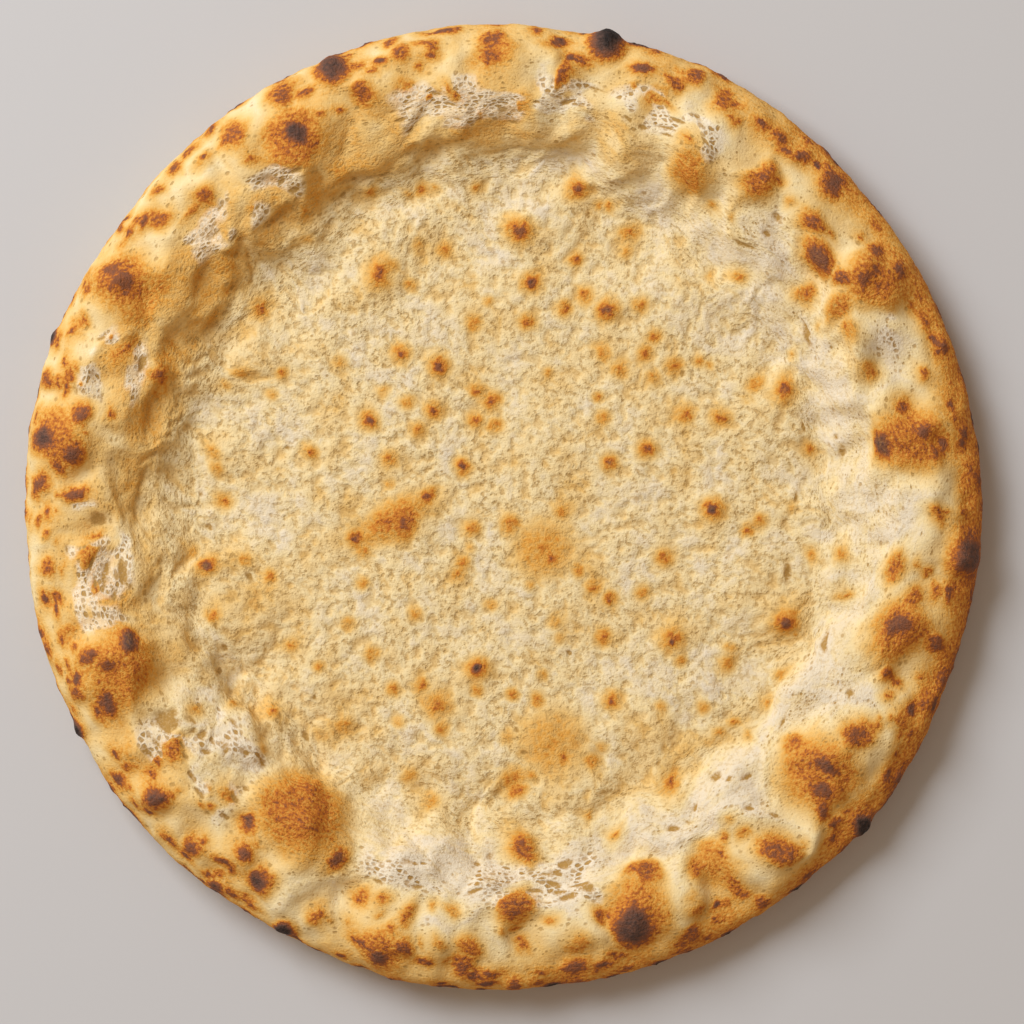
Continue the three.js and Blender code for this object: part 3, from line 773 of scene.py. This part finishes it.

# %% [markdown]
# Crust turns from cream over gold and orange-brown to char, and one ramp of colours gives that to the whole
# skin. Heat could be the place on it as it is. But crust goes from orange to brown within a narrow band, so
# those heats lie close together on the ramp, and noise added later breaks that band into flakes.

# %% Colours of the crust: heat, place on the ramp, colour
# The browns and chars are greyish: partly the grey bloom of char and partly a painted sheen.
CRUST_COLOURS = [
    (0.00, 0.00, "#EBDDC3"), (0.10, 0.13, "#F3DCA8"), (0.20, 0.25, "#ECC47B"), (0.32, 0.37, "#E3A74C"),
    (0.44, 0.43, "#D68B35"), (0.56, 0.48, "#BC6C2A"), (0.68, 0.53, "#935938"), (0.80, 0.68, "#76503F"),
    (0.92, 0.78, "#5B443B"), (1.05, 0.89, "#45352F"), (1.20, 1.00, "#2B2422"),
]
ramp_heats, ramp_places, ramp_colours = zip(*CRUST_COLOURS)
place_on_ramp = np.interp(toast, ramp_heats, ramp_places)
print("half of the skin lies below", np.median(place_on_ramp).round(2), "on the ramp")

# %% [markdown]
# Now all lifts are added up along the outward direction, and the skin becomes a mesh in metres, set exactly
# into the solid's box. Each point keeps what the material needs to know about it, as named attributes.

# %% The crust as a mesh
MM = 0.001
WEB_DEPTH = 0.9
lift = blister_lift + rim_swell + middle_swell + bulges + tip_lift + texture - pit_depth - WEB_DEPTH * web_pit
crust_points = smooth + pull * pull_share[:, None] + outward * (lift * on_top)[:, None]

box_low, box_high = (np.array(corner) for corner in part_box("pizza_base"))
own_low, own_high = crust_points.min(0), crust_points.max(0)
fitted = box_low + (crust_points - own_low) / (own_high - own_low) * (box_high - box_low)
print("fitted to the solid's box by", ((box_high - box_low) / (own_high - own_low) / MM).round(4))

crust_mesh = bpy.data.meshes.new("baked_crust")
crust_mesh.from_pydata(fitted.tolist(), [], triangles)
crust_mesh.shade_smooth()
kept_values = {
    "toast": place_on_ramp, "porous": porous, "open_skin": open_skin, "crumb": crumb,
    "pit": np.maximum(pit, web_pit), "spread": spread,
}
for name, values in kept_values.items():
    attribute = crust_mesh.attributes.new(name, "FLOAT", "POINT")
    attribute.data.foreach_set("value", values.astype(np.float32))
print("kept at each point:", ", ".join(kept_values))


# %% A flat map of the skin, for when its colours are baked into a picture
TOP_DISC = 0.41
UNDER_DISC = 0.16
DISC_FILL = 0.98


def on_disc(middle, size, distance, turn):
    """Places on the flat map, at a distance and angle from the middle of a disc."""
    out = size * distance
    return np.stack((middle[0] + out * np.cos(turn), middle[1] + out * np.sin(turn)), axis=1)


triangle_points = np.array(triangles)
seam = int(np.argmax(along >= WIDEST))
top_way = way[-1] - way
top_map = on_disc((TOP_DISC, 1 - TOP_DISC), DISC_FILL * TOP_DISC / top_way[seam], top_way, angle)
under_map = on_disc((1 - UNDER_DISC, UNDER_DISC), DISC_FILL * UNDER_DISC / way[seam], way, -angle)
is_top = triangle_points.min(axis=1) >= seam
flat_map = np.where(is_top[:, None, None], top_map[triangle_points], under_map[triangle_points])
crust_mesh.uv_layers.new(name="OFBake").data.foreach_set("uv", flat_map.ravel().astype(np.float32))
print("laid flat, the top is", round(2 * top_way[seam]), "mm across")

# %% The crust as an object
crust = bpy.data.objects.new("pizza_base_crust", crust_mesh)
bpy.context.scene.collection.objects.link(crust)
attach(crust, "root")
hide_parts("pizza_base")
print(crust.name, "has", len(crust_mesh.polygons), "triangles")

# %% [markdown]
# The material is wheat dough baked dry in a hot oven: matt and cream where it stayed pale, and a little
# glossier where its sugars browned. A picture could be painted for it, but noise of real sizes stays sharp
# from near by. Two sizes of it, flakes and crumbs, break up the rings as they are broken on real crust.

# %% Helpers for colour and nodes
dough = bpy.data.materials.new("baked_wheat_crust")
dough.use_nodes = True
dough.node_tree.nodes.clear()


def linear(hex_colour):
    """An sRGB hex colour as linear red, green, blue and alpha."""
    channels = [int(hex_colour[i:i + 2], 16) / 255 for i in (1, 3, 5)]
    return (*[c / 12.92 if c <= 0.04045 else ((c + 0.055) / 1.055) ** 2.4 for c in channels], 1.0)


def add(kind, *inputs, sockets={}, **settings):
    """Adds a node with its settings to the crust's material. Its inputs come in order or by their sockets,
    as a value or as another node's output. A whole node stands for its first output."""
    node = dough.node_tree.nodes.new("ShaderNode" + kind)
    for name, value in settings.items():
        setattr(node, name, value)
    for socket, value in [*enumerate(inputs), *sockets.items()]:
        if isinstance(value, bpy.types.Node):
            value = value.outputs[0]
        if isinstance(value, bpy.types.NodeSocket):
            dough.node_tree.links.new(value, node.inputs[socket])
        else:
            node.inputs[socket].default_value = value
    return node


print("cream in linear light:", np.round(linear(ramp_colours[0]), 3))

# %% Baked wheat crust: what each point knows
on_crust = add("TexCoord").outputs["Object"]
known = {}
for name in kept_values:
    known[name] = add("Attribute", attribute_name=name).outputs["Fac"]
# Crumbs and pores are drawn out along the rim, as the dough was.
drawn_out = add("VectorMath", on_crust, sockets={"Scale": known["spread"]}, operation="SCALE")
print(dough.name, "reads", len(known), "values of the skin")

# %% Baked wheat crust: heat broken up by flakes and crumbs
# Real flakes are a few tenths of a millimetre wide. They are drawn coarser, so that they show.
FLAKE = 0.8
CRUMB = 1.8
NOISE_MEAN = 0.5
flakes = add("TexNoise", sockets={"Vector": on_crust, "Scale": 1 / (FLAKE * MM), "Roughness": 0.65})
crumbs = add("TexNoise", sockets={"Vector": drawn_out, "Scale": 1 / (CRUMB * MM), "Roughness": 0.55})

# How far each noise moves pale skin and golden or browner skin along the ramp. On pale skin its low parts
# are the warmer ones, as hollows are; the same noises make the bump, so this is partly painted shade in its
# low parts. MapRange takes a value, two limits, and what it gives at each limit.
PALE, GOLDEN = 0.12, 0.42
broken_up = known["toast"]
for grain, pale_push, golden_push in ((flakes, -0.05, 0.16), (crumbs, -0.12, 0.36)):
    push = add("Math", grain, NOISE_MEAN, operation="SUBTRACT")
    push_size = add("MapRange", known["toast"], PALE, GOLDEN, pale_push, golden_push)
    broken_up = add("Math", push, push_size, broken_up, operation="MULTIPLY_ADD")
print("flakes of", FLAKE, "mm and crumbs of", CRUMB, "mm break up the tone")

# %% Baked wheat crust: from cream to char
ramp = add("ValToRGB", broken_up)
stops = ramp.color_ramp.elements
while len(stops) < len(ramp_colours):
    stops.new(0.5)
for stop, stop_place, stop_colour in zip(stops, ramp_places, ramp_colours):
    stop.position = stop_place
    stop.color = linear(stop_colour)
print("crust runs through", len(stops), "colours")

# %% [markdown]
# Most pores are too fine for the mesh, so they are drawn in the material: a hole in the middle of each flat
# Voronoi cell. The skin knows how porous and open it is. So holes are small on the crumb, few on whole
# skin, and so large in the torn zones that only white threads are left between them.

# %% Baked wheat crust: pits of the mesh
# A pit's edge lies where its stored closeness passes this, made rough by the flakes.
PIT_EDGE = 0.2
EDGE_ROUGHNESS = 0.5
EDGE_CRISPNESS = 3.0
rough_pit = add("Math", flakes, EDGE_ROUGHNESS, known["pit"], operation="MULTIPLY_ADD")
pit_inside = add("Math", rough_pit, PIT_EDGE + EDGE_ROUGHNESS * NOISE_MEAN, operation="SUBTRACT")
holes = add("Math", pit_inside, EDGE_CRISPNESS, operation="MULTIPLY", use_clamp=True)
print("pits have their edge at", PIT_EDGE, "of the way in")

# %% Baked wheat crust: pores
WARP = 0.8
# Kinds of pore: how far apart they lie in millimetres, the largest one's radius as a share of that, how
# crisp its edge is, how much likelier it is where the skin is porous or open, and which of those counts.
PORES = [
    (1.6, 0.62, 3.5, 0.45, "porous"), (2.6, 0.9, 3.5, 0.62, "open_skin"), (5.2, 0.5, 6.0, 0.35, "open_skin"),
]
# Larger pores than this would run together, so a thread is left where two cells meet.
RUN_TOGETHER = 0.7
THREAD = 0.16
# The chance at which a pore starts to open, and at which it is largest. Those that barely open are faint.
OPENS, LARGEST = 0.8, 1.4
CLOSED, FAINT = -0.1, 0.15

shake = add("VectorMath", flakes.outputs["Color"], [NOISE_MEAN] * 3, operation="SUBTRACT")
warped = add("VectorMath", shake, [WARP * MM] * 3, drawn_out, operation="MULTIPLY_ADD")
for spacing, largest, crispness, likelier, where in PORES:
    pattern = {"Vector": warped, "Scale": 1 / (spacing * MM)}
    cells = add("TexVoronoi", sockets=pattern, voronoi_dimensions="2D")
    chance = add("Math", known[where], likelier, cells.outputs["Color"], operation="MULTIPLY_ADD")
    reach = add("MapRange", chance, OPENS, LARGEST, CLOSED, largest)
    strength = add("MapRange", chance, OPENS, LARGEST, FAINT, 1.0)
    edge = add("Math", reach, cells.outputs["Distance"], operation="SUBTRACT")
    if largest > RUN_TOGETHER:
        next_cells = add("TexVoronoi", sockets=pattern, voronoi_dimensions="2D", feature="F2")
        apart = add("Math", next_cells.outputs["Distance"], cells.outputs["Distance"], operation="SUBTRACT")
        off_thread = add("Math", apart, THREAD, operation="SUBTRACT")
        edge = add("Math", edge, off_thread, operation="MINIMUM")
        lace_edge = edge
    pore = add("Math", edge, crispness, operation="MULTIPLY", use_clamp=True)
    felt_pore = add("Math", pore, strength, operation="MULTIPLY")
    holes = add("Math", holes, felt_pore, operation="MAXIMUM")
print("pores lie", [spacing for spacing, *_ in PORES], "mm apart")

# %% Baked wheat crust: white threads of torn skin
# Torn skin is thin and dry, so it is whiter, most of all along the edges of its pores.
TORN_WHITE = linear("#F5E9D2")
EDGE_WIDTH, OFF_EDGE = 0.25, 0.55
TORN_FROM, WHITEST = 0.6, 0.85
wall = add("MapRange", lace_edge, -EDGE_WIDTH, 0.0, OFF_EDGE, 1.0)
torn_share = add("MapRange", known["open_skin"], TORN_FROM, 1.0, 0.0, WHITEST)
white_wall = add("Math", wall, torn_share, operation="MULTIPLY")
whitened = add("Mix", sockets={0: white_wall, 6: ramp, 7: TORN_WHITE}, data_type="RGBA")
print("torn white in linear light:", np.round(TORN_WHITE, 3))

# %% Baked wheat crust: dimples of the crumb, and the colour of all holes
# Dimples are where the crumbs' noise is low, which is where the bump is low too. They take the tan of the
# holes, so they are partly painted shade.
DIMPLE_FLOOR, DIMPLE_EDGE = 0.34, 0.48
DIMPLE_STRENGTH = 0.6
# Inside a hole the crumb is a deeper, even tan, a little mottled by the flakes: partly the crumb's own
# colour and partly painted shade, as the bump casts no shadow into it.
HOLE_TAN_AND_SHADE = linear("#B68E4E")
MOTTLED_FROM, MOTTLED = 0.35, 0.85
dimple = add("MapRange", crumbs, DIMPLE_FLOOR, DIMPLE_EDGE, DIMPLE_STRENGTH, 0.0)
felt_dimple = add("Math", dimple, known["crumb"], operation="MULTIPLY")
holes = add("Math", holes, felt_dimple, operation="MAXIMUM")
mottle = add("MapRange", flakes, MOTTLED_FROM, NOISE_MEAN, MOTTLED, 1.0)
hole_amount = add("Math", holes, mottle, operation="MULTIPLY")
crust_colour = add("Mix", sockets={0: hole_amount, 6: whitened.outputs[2], 7: HOLE_TAN_AND_SHADE}, data_type="RGBA")
print("tan of the holes in linear light:", np.round(HOLE_TAN_AND_SHADE, 3))

# %% Baked wheat crust: bump
# All heights are in millimetres. Toasted skin is flakier than pale skin.
PALE_FLAKES, TOASTED_FLAKES, CRUMB_FLAKES = 0.25, 0.6, 0.1
CRUMB_BUMP, SKIN_BUMP = 0.15, 0.16
HOLE_DEPTH = 0.2
skin_flakes = add("MapRange", known["toast"], 0.25, 0.45, PALE_FLAKES, TOASTED_FLAKES)
flake_size = add("Math", known["crumb"], CRUMB_FLAKES, skin_flakes, operation="MULTIPLY_ADD")
flake_height = add("Math", flakes, flake_size, operation="MULTIPLY")
crumb_size = add("Math", known["crumb"], CRUMB_BUMP, SKIN_BUMP, operation="MULTIPLY_ADD")
crumb_height = add("Math", crumbs, crumb_size, flake_height, operation="MULTIPLY_ADD")
relief = add("Math", holes, -HOLE_DEPTH, crumb_height, operation="MULTIPLY_ADD")
bump = add("Bump", sockets={"Strength": 1.0, "Distance": MM, "Height": relief})
print("holes are drawn", HOLE_DEPTH, "mm deep")

# %% Baked wheat crust: the shader
# Dry crumb and flour scatter light evenly, so the eye sees hardly any shine. Browned skin is smoother.
PALE_ROUGHNESS, BROWN_ROUGHNESS = 0.85, 0.6
CRUST_IOR = 1.45
DRY_SHEEN = 0.2
roughness = add("MapRange", known["toast"], 0.2, 0.7, PALE_ROUGHNESS, BROWN_ROUGHNESS)
shader = add("BsdfPrincipled", sockets={
    "Base Color": crust_colour.outputs[2], "Roughness": roughness, "IOR": CRUST_IOR,
    "Specular IOR Level": DRY_SHEEN, "Normal": bump})
add("OutputMaterial", shader)
crust_mesh.materials.append(dough)
print(dough.name, "has", len(dough.node_tree.nodes), "nodes")

# %% [markdown]
# The stage is a plain pale floor under a large soft light from the back left, with a weak warm glow all
# round to open the shadows. The camera hangs straight above, high enough to keep perspective small.

# %% Floor
# Plaster, trowelled smooth: to the eye an even pale grey that takes soft shadows and mirrors nothing.
FLOOR_HALF = 3.0
FLOOR_COLOUR = linear("#CBCBCD")
FLOOR_ROUGHNESS = 0.9
floor_mesh = bpy.data.meshes.new("floor")
floor_corners = [(FLOOR_HALF * x, FLOOR_HALF * y, 0) for x, y in ((-1, -1), (1, -1), (1, 1), (-1, 1))]
floor_mesh.from_pydata(floor_corners, [], [(0, 1, 2, 3)])
floor = bpy.data.objects.new("floor", floor_mesh)
bpy.context.scene.collection.objects.link(floor)
floor_paint = bpy.data.materials.new("matt_plaster")
floor_paint.use_nodes = True
floor_shader = floor_paint.node_tree.nodes["Principled BSDF"]
floor_shader.inputs["Base Color"].default_value = FLOOR_COLOUR
floor_shader.inputs["Roughness"].default_value = FLOOR_ROUGHNESS
floor_mesh.materials.append(floor_paint)
print("floor is", 2 * FLOOR_HALF, "m wide")

# %% Light
LIGHT_DISTANCE = 2.2
LIGHT_SIZE = 1.3
LIGHT_AZIMUTH = math.radians(137)
LIGHT_ELEVATION = math.radians(42)
LIGHT_POWER = 49.0
LIGHT_COLOUR = linear("#F5FAFF")

lamp = bpy.data.lights.new("soft_window", "AREA")
lamp.size = LIGHT_SIZE
lamp.energy = LIGHT_POWER
lamp.color = LIGHT_COLOUR[:3]
light = bpy.data.objects.new("soft_window", lamp)
flat_distance = LIGHT_DISTANCE * math.cos(LIGHT_ELEVATION)
light.location = (
    flat_distance * math.cos(LIGHT_AZIMUTH), flat_distance * math.sin(LIGHT_AZIMUTH),
    LIGHT_DISTANCE * math.sin(LIGHT_ELEVATION))
light.rotation_euler = (-light.location).to_track_quat("-Z", "Y").to_euler()
bpy.context.scene.collection.objects.link(light)
print("light hangs at", [round(side, 2) for side in light.location], "m")

# %% Glow all round
GLOW = 0.37
GLOW_COLOUR = linear("#FFE3C4")
world = bpy.data.worlds.new("studio")
world.use_nodes = True
background = world.node_tree.nodes["Background"]
background.inputs["Color"].default_value = GLOW_COLOUR
background.inputs["Strength"].default_value = GLOW
bpy.context.scene.world = world
bpy.context.scene.view_settings.view_transform = "Standard"
print("glow of", GLOW, "from all sides")

# %% Camera
PICTURE_WIDTH = 0.3187
CAMERA_HEIGHT = 1.8
PICTURE_CENTRE = (0.0026, -0.0016)

camera_data = bpy.data.cameras.new("overhead")
camera_data.lens = camera_data.sensor_width * (CAMERA_HEIGHT - WIDEST_HEIGHT * MM) / PICTURE_WIDTH
camera = bpy.data.objects.new("overhead", camera_data)
camera.location = (*PICTURE_CENTRE, CAMERA_HEIGHT)
bpy.context.scene.collection.objects.link(camera)
bpy.context.scene.camera = camera
print("camera lens", round(camera_data.lens, 1), "mm")
